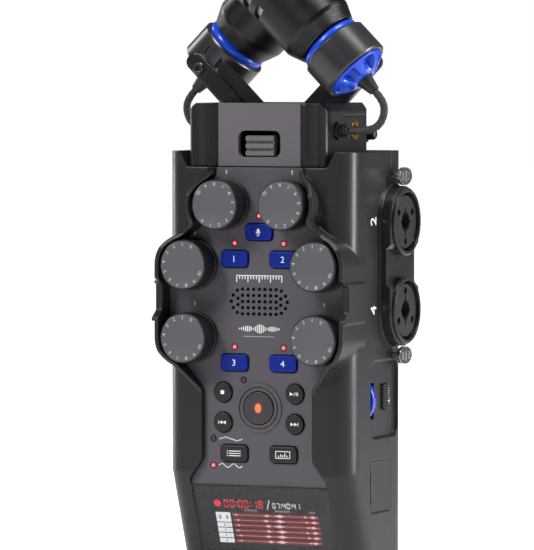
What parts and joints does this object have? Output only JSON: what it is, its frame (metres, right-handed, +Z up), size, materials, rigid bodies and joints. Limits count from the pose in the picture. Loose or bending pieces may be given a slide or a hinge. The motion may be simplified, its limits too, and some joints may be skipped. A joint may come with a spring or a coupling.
{
  "type": "portable field recorder",
  "caption": "Handheld multitrack audio recorder with crossed shock-mounted microphones, gain knobs, a sloping screen and combo input jacks.",
  "frame": {"origin": "middle of the overall box, on the flat bottom end that the recorder stands on", "axes": "+Z up along the body towards the microphones, -Y out of the front panel, +X to the right as seen from the front"},
  "size_m": [0.0848, 0.055, 0.2246],
  "materials": {
    "housing": "fine textured",
    "panel": "satin",
    "knobs": "satin top, knurled black sides",
    "blue_keys": "satin translucent",
    "black_keys": "satin",
    "wheel": "gloss",
    "lights": "translucent",
    "lens": "gloss",
    "lcd": "gloss",
    "boards": "solder resist",
    "electronics": "moulded",
    "jack_plastic": "moulded",
    "levers": "polished stamping",
    "cells": "plain wrap",
    "contacts": "nickel plated",
    "steel": "black oxide",
    "bush": "turned",
    "cover": "moulded",
    "mic_metal": "satin black",
    "suspension": "moulded elastomer",
    "leads": "braided sleeve"
  },
  "bodies": {
    "recorder": {"front_housing": "housing", "rear_housing": "housing", "front_panel": "panel", "status_leds": "lights", "screen_lens": "lens", "lcd_module": "lcd", "control_board": "boards", "main_board": "boards", "potentiometers": "electronics", "tact_switches": "electronics", "speaker": "electronics", "card_socket": "electronics", "side_sockets": "electronics", "capsule_socket": "electronics", "jack_plates": "jack_plastic", "jack_shells": "jack_plastic", "jack_inserts": "jack_plastic", "batteries": "cells", "battery_contacts": "contacts", "housing_screws": "steel", "tripod_bush": "bush"},
    "mic_knob_left": {"mic_knob_left": "knobs"},
    "mic_knob_right": {"mic_knob_right": "knobs"},
    "gain_knob_1": {"gain_knob_1": "knobs"},
    "gain_knob_2": {"gain_knob_2": "knobs"},
    "gain_knob_3": {"gain_knob_3": "knobs"},
    "gain_knob_4": {"gain_knob_4": "knobs"},
    "mic_button": {"mic_button": "blue_keys"},
    "track_button_1": {"track_button_1": "blue_keys"},
    "track_button_2": {"track_button_2": "blue_keys"},
    "track_button_3": {"track_button_3": "blue_keys"},
    "track_button_4": {"track_button_4": "blue_keys"},
    "function_button_left": {"function_button_left": "black_keys"},
    "function_button_right": {"function_button_right": "black_keys"},
    "stop_button": {"stop_button": "black_keys"},
    "play_button": {"play_button": "black_keys"},
    "rewind_button": {"rewind_button": "black_keys"},
    "forward_button": {"forward_button": "black_keys"},
    "record_button": {"record_button": "black_keys"},
    "release_lever_1": {"release_lever_1": "levers"},
    "release_lever_2": {"release_lever_2": "levers"},
    "release_lever_3": {"release_lever_3": "levers"},
    "release_lever_4": {"release_lever_4": "levers"},
    "enter_key": {"enter_key": "black_keys"},
    "thumb_wheel": {"thumb_wheel": "wheel"},
    "card_cover": {"card_cover": "cover"},
    "battery_door": {"battery_door": "housing"},
    "power_switch": {"power_switch": "black_keys"},
    "capsule": {"capsule_shell": "housing", "capsule_front_plate": "panel", "line_in_jack": "bush", "shock_rings": "mic_metal", "ring_suspensions": "suspension", "mic_barrels": "mic_metal", "mic_elements": "steel", "capsule_arms": "mic_metal", "mic_cables": "leads", "cable_glands": "leads"},
    "capsule_latch": {"capsule_latch": "black_keys"},
    "capsule_release_button": {"capsule_release_button": "black_keys"}
  },
  "joints": [
    {"name": "mic_knob_left_turn", "type": "hinge", "parent": "recorder", "child": "mic_knob_left", "pos_m": [-0.01165, -0.01775, 0.1349], "axis": [0, 1, 0], "range_deg": [-219.2, 54.8]},
    {"name": "mic_knob_right_turn", "type": "hinge", "parent": "recorder", "child": "mic_knob_right", "pos_m": [0.01165, -0.01775, 0.1349], "axis": [0, 1, 0], "range_deg": [-219.2, 54.8]},
    {"name": "gain_knob_1_turn", "type": "hinge", "parent": "recorder", "child": "gain_knob_1", "pos_m": [-0.023, -0.01775, 0.1153], "axis": [0, 1, 0], "range_deg": [-27.4, 246.6]},
    {"name": "gain_knob_2_turn", "type": "hinge", "parent": "recorder", "child": "gain_knob_2", "pos_m": [0.023, -0.01775, 0.1153], "axis": [0, 1, 0], "range_deg": [-27.4, 246.6]},
    {"name": "gain_knob_3_turn", "type": "hinge", "parent": "recorder", "child": "gain_knob_3", "pos_m": [-0.023, -0.01775, 0.0916], "axis": [0, 1, 0], "range_deg": [-27.4, 246.6]},
    {"name": "gain_knob_4_turn", "type": "hinge", "parent": "recorder", "child": "gain_knob_4", "pos_m": [0.023, -0.01775, 0.0916], "axis": [0, 1, 0], "range_deg": [-27.4, 246.6]},
    {"name": "mic_button_press", "type": "slide", "parent": "recorder", "child": "mic_button", "axis": [0, 1, 0], "range_m": [0, 0.0006], "stiffness_N_per_m": 400, "springref_m": -0.001},
    {"name": "track_button_1_press", "type": "slide", "parent": "recorder", "child": "track_button_1", "axis": [0, 1, 0], "range_m": [0, 0.0006], "stiffness_N_per_m": 400, "springref_m": -0.001},
    {"name": "track_button_2_press", "type": "slide", "parent": "recorder", "child": "track_button_2", "axis": [0, 1, 0], "range_m": [0, 0.0006], "stiffness_N_per_m": 400, "springref_m": -0.001},
    {"name": "track_button_3_press", "type": "slide", "parent": "recorder", "child": "track_button_3", "axis": [0, 1, 0], "range_m": [0, 0.0006], "stiffness_N_per_m": 400, "springref_m": -0.001},
    {"name": "track_button_4_press", "type": "slide", "parent": "recorder", "child": "track_button_4", "axis": [0, 1, 0], "range_m": [0, 0.0006], "stiffness_N_per_m": 400, "springref_m": -0.001},
    {"name": "function_button_left_press", "type": "slide", "parent": "recorder", "child": "function_button_left", "axis": [0, 1, 0], "range_m": [0, 0.0006], "stiffness_N_per_m": 400, "springref_m": -0.001},
    {"name": "function_button_right_press", "type": "slide", "parent": "recorder", "child": "function_button_right", "axis": [0, 1, 0], "range_m": [0, 0.0006], "stiffness_N_per_m": 400, "springref_m": -0.001},
    {"name": "stop_button_press", "type": "slide", "parent": "recorder", "child": "stop_button", "axis": [0, 1, 0], "range_m": [0, 0.0006], "stiffness_N_per_m": 400, "springref_m": -0.001},
    {"name": "play_button_press", "type": "slide", "parent": "recorder", "child": "play_button", "axis": [0, 1, 0], "range_m": [0, 0.0006], "stiffness_N_per_m": 400, "springref_m": -0.001},
    {"name": "rewind_button_press", "type": "slide", "parent": "recorder", "child": "rewind_button", "axis": [0, 1, 0], "range_m": [0, 0.0006], "stiffness_N_per_m": 400, "springref_m": -0.001},
    {"name": "forward_button_press", "type": "slide", "parent": "recorder", "child": "forward_button", "axis": [0, 1, 0], "range_m": [0, 0.0006], "stiffness_N_per_m": 400, "springref_m": -0.001},
    {"name": "record_button_press", "type": "slide", "parent": "recorder", "child": "record_button", "axis": [0, 1, 0], "range_m": [0, 0.0006], "stiffness_N_per_m": 400, "springref_m": -0.001},
    {"name": "release_lever_1_press", "type": "slide", "parent": "recorder", "child": "release_lever_1", "axis": [1, 0, 0], "range_m": [0, 0.0012], "stiffness_N_per_m": 400, "springref_m": -0.001},
    {"name": "release_lever_2_press", "type": "slide", "parent": "recorder", "child": "release_lever_2", "axis": [-1, 0, 0], "range_m": [0, 0.0012], "stiffness_N_per_m": 400, "springref_m": -0.001},
    {"name": "release_lever_3_press", "type": "slide", "parent": "recorder", "child": "release_lever_3", "axis": [1, 0, 0], "range_m": [0, 0.0012], "stiffness_N_per_m": 400, "springref_m": -0.001},
    {"name": "release_lever_4_press", "type": "slide", "parent": "recorder", "child": "release_lever_4", "axis": [-1, 0, 0], "range_m": [0, 0.0012], "stiffness_N_per_m": 400, "springref_m": -0.001},
    {"name": "enter_key_press", "type": "slide", "parent": "recorder", "child": "enter_key", "axis": [-1, 0, 0], "range_m": [0, 0.0004], "stiffness_N_per_m": 400, "springref_m": -0.001},
    {"name": "thumb_wheel_turn", "type": "hinge", "parent": "recorder", "child": "thumb_wheel", "pos_m": [0.0245, 0.0006, 0.071], "axis": [0, 1, 0], "continuous": true},
    {"name": "card_cover_open", "type": "hinge", "parent": "recorder", "child": "card_cover", "pos_m": [0.033, 0.013, 0.0431], "axis": [0, 0, 1], "range_deg": [0, 100]},
    {"name": "battery_door_open", "type": "hinge", "parent": "recorder", "child": "battery_door", "pos_m": [0, 0.02745, 0.00515], "axis": [-1, 0, 0], "range_deg": [0, 75]},
    {"name": "power_switch_slide", "type": "slide", "parent": "recorder", "child": "power_switch", "axis": [0, 0, -1], "range_m": [0, 0.002]},
    {"name": "capsule_lift", "type": "slide", "parent": "recorder", "child": "capsule", "axis": [0, 0, 1], "range_m": [0, 0.03]},
    {"name": "capsule_latch_slide", "type": "slide", "parent": "capsule", "child": "capsule_latch", "axis": [0, 0, 1], "range_m": [0, 0.0014], "stiffness_N_per_m": 300, "springref_m": -0.001},
    {"name": "capsule_release_press", "type": "slide", "parent": "capsule", "child": "capsule_release_button", "axis": [-1, 0, 0], "range_m": [0, 0.0008], "stiffness_N_per_m": 300, "springref_m": -0.001}
  ]
}
